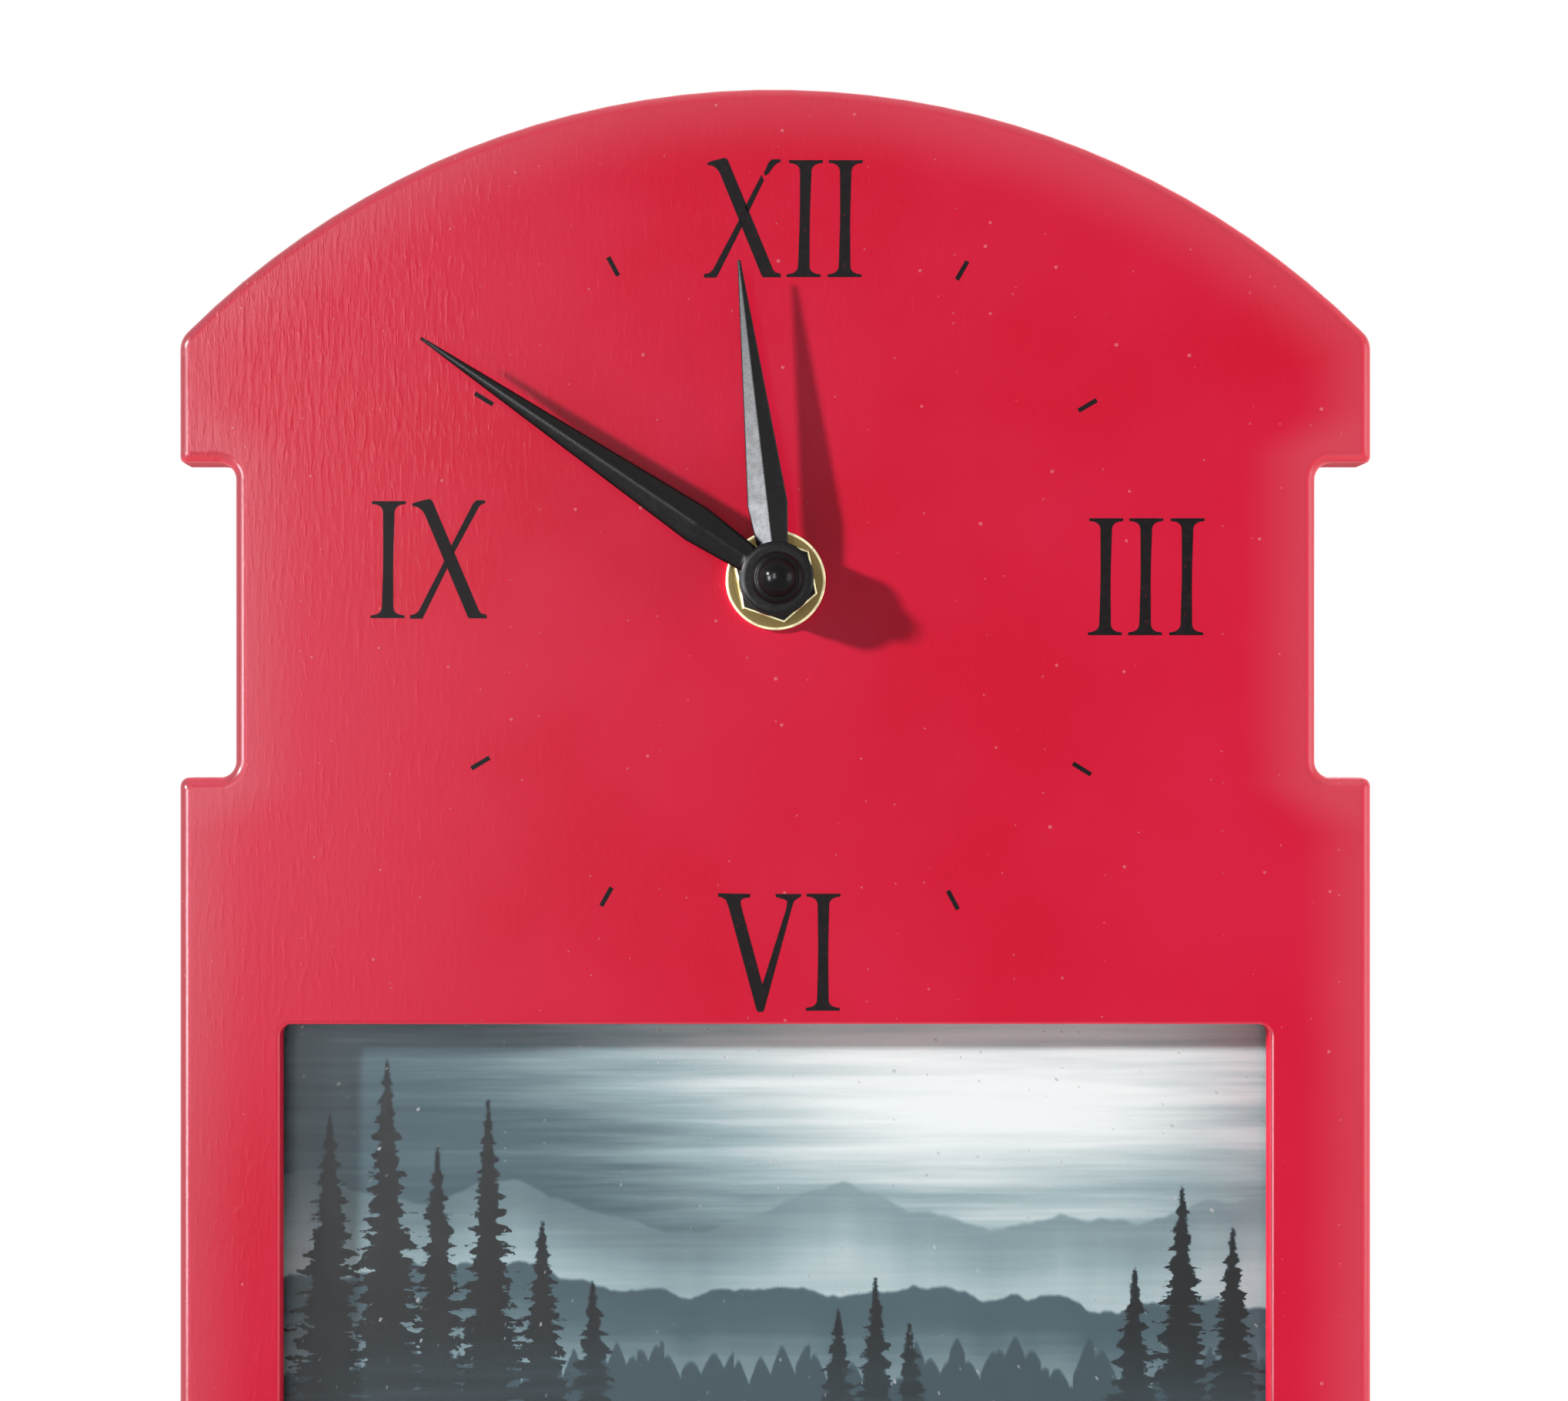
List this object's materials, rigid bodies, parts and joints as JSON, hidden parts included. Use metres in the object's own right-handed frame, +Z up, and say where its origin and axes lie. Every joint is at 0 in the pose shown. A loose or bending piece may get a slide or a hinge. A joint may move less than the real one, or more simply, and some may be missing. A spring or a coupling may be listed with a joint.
{
  "type": "photo frame clock",
  "caption": "Leaning table clock: a domed, notched painted board with faceted hands and a quartz movement above a glazed picture window, held by a hinged easel strut.",
  "frame": {"origin": "centre of the bounding box's bottom, on the table", "axes": "+Z up, -Y towards the viewer, +X to the viewer's right; the board's face leans back by 10 degrees"},
  "size_m": [0.175, 0.0668, 0.2557],
  "materials": {
    "painted_board": "satin red paint",
    "clear_glass": "clear",
    "photo_paper": "coated print paper, semi-gloss",
    "hardboard": "smooth brown hardboard",
    "strut_board": "black satin paint",
    "plated_steel": "nickel plated",
    "core_steel": "laminated sheet",
    "hinge_brass": "brass plated, satin",
    "bright_brass": "machined, bright",
    "train_brass": "machined",
    "copper_wire": "enamelled copper winding",
    "black_rubber": "matte",
    "black_plastic": "moulded, fine texture",
    "natural_plastic": "moulded",
    "circuit_laminate": "green laminate",
    "battery_sleeve": "plain dark sleeve with a gold band",
    "black_enamel": "black satin enamel"
  },
  "bodies": {
    "board": {"front_board": "painted_board", "window_glass": "clear_glass", "photo_print": "photo_paper", "backing_board": "hardboard", "turn_button_screws": "plated_steel", "rubber_gasket": "black_rubber", "movement_case": "black_plastic", "movement_back_cover": "black_plastic", "train_plate": "natural_plastic", "motor_block": "natural_plastic", "stator_core": "core_steel", "motor_coil": "copper_wire", "circuit_board": "circuit_laminate", "quartz_can": "plated_steel", "battery": "battery_sleeve", "battery_contact_plus": "plated_steel", "battery_contact_minus": "plated_steel", "shaft_nut": "bright_brass", "hinge_leaf_board": "hinge_brass", "hinge_screws_board": "hinge_brass", "hinge_pin": "hinge_brass"},
    "minute": {"minute_arbor": "train_brass", "minute_hand": "black_enamel", "cap_nut": "black_enamel"},
    "hour": {"hour_wheel": "train_brass", "hour_hand": "black_enamel"},
    "motion": {"motion_wheel": "train_brass", "setting_knob": "black_plastic"},
    "strut": {"easel_strut": "strut_board", "hinge_leaf_strut": "hinge_brass", "hinge_screws_strut": "hinge_brass"},
    "turn_button_1": {"turn_button_1": "plated_steel"},
    "turn_button_2": {"turn_button_2": "plated_steel"},
    "turn_button_3": {"turn_button_3": "plated_steel"},
    "turn_button_4": {"turn_button_4": "plated_steel"}
  },
  "joints": [
    {"name": "minute_hand_turn", "type": "hinge", "parent": "board", "child": "minute", "pos_m": [0, -0.00077, 0.18485], "axis": [0, 0.9848, -0.1736], "continuous": true},
    {"name": "motion_wheel_turn", "type": "hinge", "parent": "board", "child": "motion", "pos_m": [0, 0.00119, 0.19593], "axis": [0, 0.9848, -0.1736], "continuous": true},
    {"name": "hour_hand_turn", "type": "hinge", "parent": "board", "child": "hour", "pos_m": [0, -0.00077, 0.18485], "axis": [0, 0.9848, -0.1736], "continuous": true},
    {"name": "strut_fold", "type": "hinge", "parent": "board", "child": "strut", "pos_m": [0, 0.00208, 0.13592], "axis": [-1, 0, 0], "range_deg": [0, 20]},
    {"name": "turn_button_1_turn", "type": "hinge", "parent": "board", "child": "turn_button_1", "pos_m": [-0.05, -0.00159, 0.12835], "axis": [0, 0.9848, -0.1736], "range_deg": [0, 90]},
    {"name": "turn_button_2_turn", "type": "hinge", "parent": "board", "child": "turn_button_2", "pos_m": [0.05, -0.00159, 0.12835], "axis": [0, -0.9848, 0.1736], "range_deg": [0, 90]},
    {"name": "turn_button_3_turn", "type": "hinge", "parent": "board", "child": "turn_button_3", "pos_m": [-0.05, -0.02139, 0.01607], "axis": [0, -0.9848, 0.1736], "range_deg": [0, 90]},
    {"name": "turn_button_4_turn", "type": "hinge", "parent": "board", "child": "turn_button_4", "pos_m": [0.05, -0.02139, 0.01607], "axis": [0, 0.9848, -0.1736], "range_deg": [0, 90]}
  ],
  "couplings": [
    {"joint": "motion_wheel_turn", "follows": "minute_hand_turn", "ratio": -0.33333},
    {"joint": "hour_hand_turn", "follows": "minute_hand_turn", "ratio": 0.083333}
  ]
}
